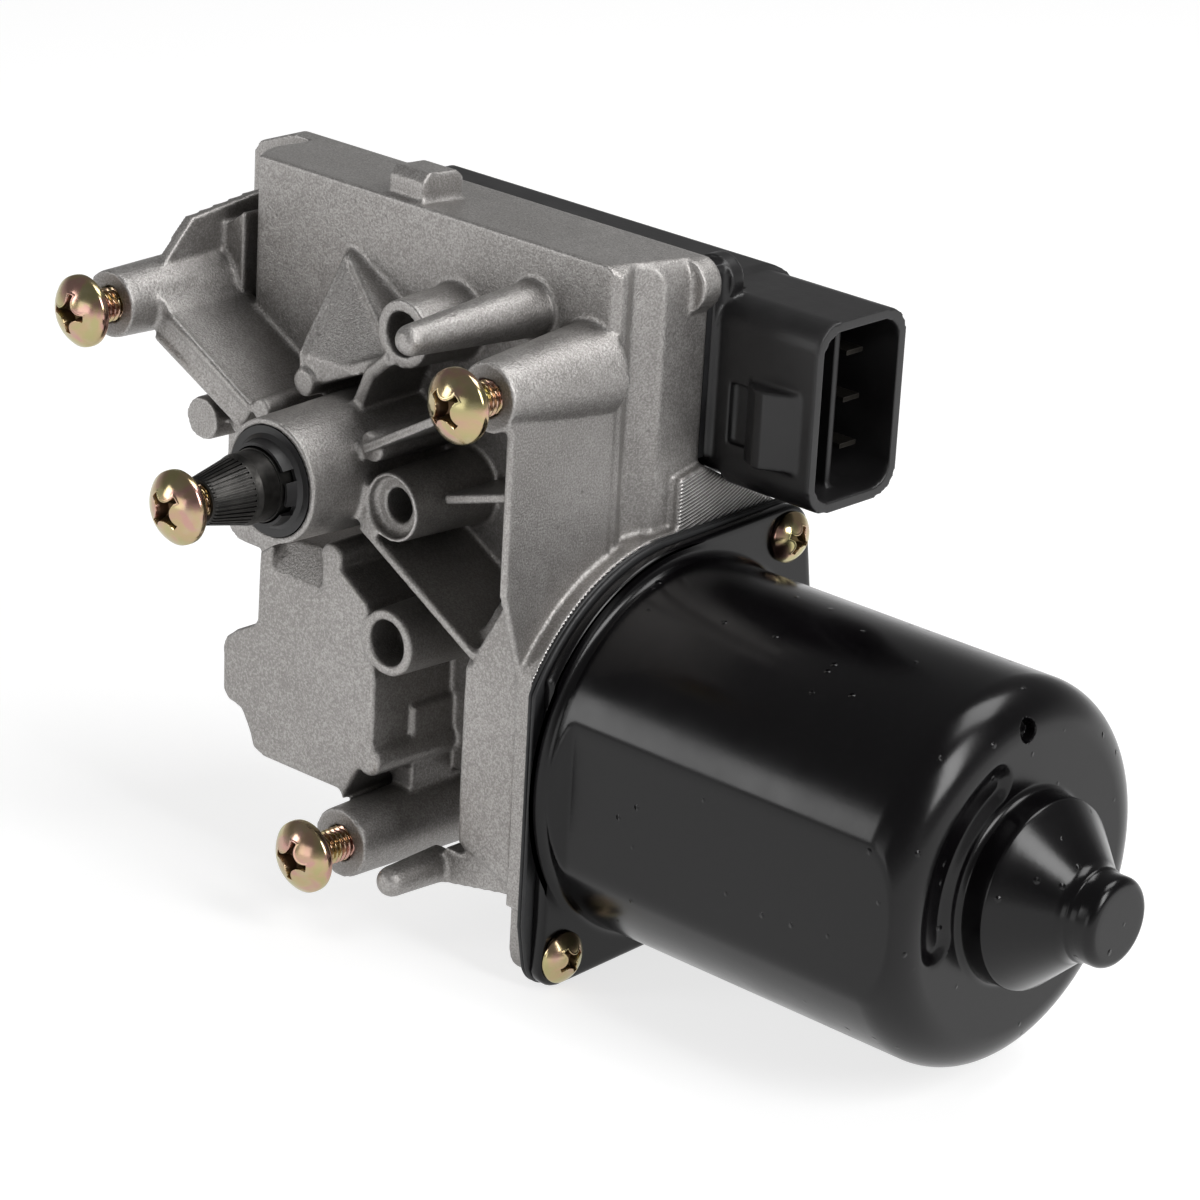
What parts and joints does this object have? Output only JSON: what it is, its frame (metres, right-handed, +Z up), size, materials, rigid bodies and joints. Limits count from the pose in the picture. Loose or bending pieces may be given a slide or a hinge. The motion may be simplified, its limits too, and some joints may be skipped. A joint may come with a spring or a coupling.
{
  "type": "wiper motor",
  "caption": "Geared wiper motor: ribbed die-cast gear housing with a serrated crank shaft, a black round motor can and a black cover with its plug socket.",
  "frame": {"origin": "on the output shaft's axis, in the plane of the three mounting boss faces", "axes": "+X along the motor shaft towards the can's nose, +Y from the mounting plane back through the housing, +Z up; the crank shaft points to -Y"},
  "size_m": [0.2005, 0.1013, 0.1234],
  "materials": {
    "cast_aluminium": "die-cast, fine grain",
    "black_plastic": "moulded, satin",
    "rubber": "matt",
    "zinc_steel": "yellow passivated zinc",
    "circuit_board": "glass fibre board",
    "brush_board": "phenolic board",
    "contact_brass": "tinned and bare brass",
    "copper": "enamelled and bare copper",
    "wheel_plastic": "moulded acetal",
    "dark_steel": "blackened",
    "sintered_bronze": "sintered, oiled",
    "bright_steel": "ground",
    "black_paint": "gloss black paint",
    "ferrite": "matt ferrite",
    "carbon": "matt"
  },
  "bodies": {
    "housing": {"gear_housing": "cast_aluminium", "rear_cover": "black_plastic", "cover_seal": "rubber", "cover_screws": "zinc_steel", "circuit_plate": "circuit_board", "relay_block": "black_plastic", "connector_pins": "contact_brass", "park_contacts": "contact_brass", "output_bushes": "sintered_bronze", "thrust_washer": "bright_steel", "shaft_cap": "black_plastic", "mounting_screws": "zinc_steel", "motor_can": "black_paint", "can_gasket": "rubber", "can_screws": "zinc_steel", "field_magnets": "ferrite", "magnet_springs": "bright_steel", "brush_plate": "brush_board", "brush_boxes": "contact_brass", "carbon_brushes": "carbon", "brush_springs": "bright_steel", "choke_coils": "copper", "bearing_outer_ring": "bright_steel", "bearing_clip": "bright_steel", "nose_bush": "sintered_bronze", "bush_clip": "bright_steel", "worm_end_bush": "sintered_bronze", "thrust_ball": "bright_steel", "thrust_screw": "zinc_steel"},
    "armature": {"armature_shaft": "bright_steel", "armature_core": "bright_steel", "armature_windings": "copper", "commutator": "copper", "bearing_inner_ring": "bright_steel", "bearing_balls": "bright_steel"},
    "output": {"worm_wheel": "wheel_plastic", "contact_disc": "contact_brass", "output_shaft": "dark_steel", "retaining_ring": "dark_steel", "crank_screw": "zinc_steel"}
  },
  "joints": [
    {"name": "armature_spin", "type": "hinge", "parent": "housing", "child": "armature", "pos_m": [0, 0.036, -0.04015], "axis": [1, 0, 0], "continuous": true},
    {"name": "output_spin", "type": "hinge", "parent": "housing", "child": "output", "pos_m": [0, 0, 0], "axis": [0, 1, 0], "continuous": true}
  ],
  "couplings": [
    {"joint": "output_spin", "follows": "armature_spin", "ratio": 0.014286}
  ]
}
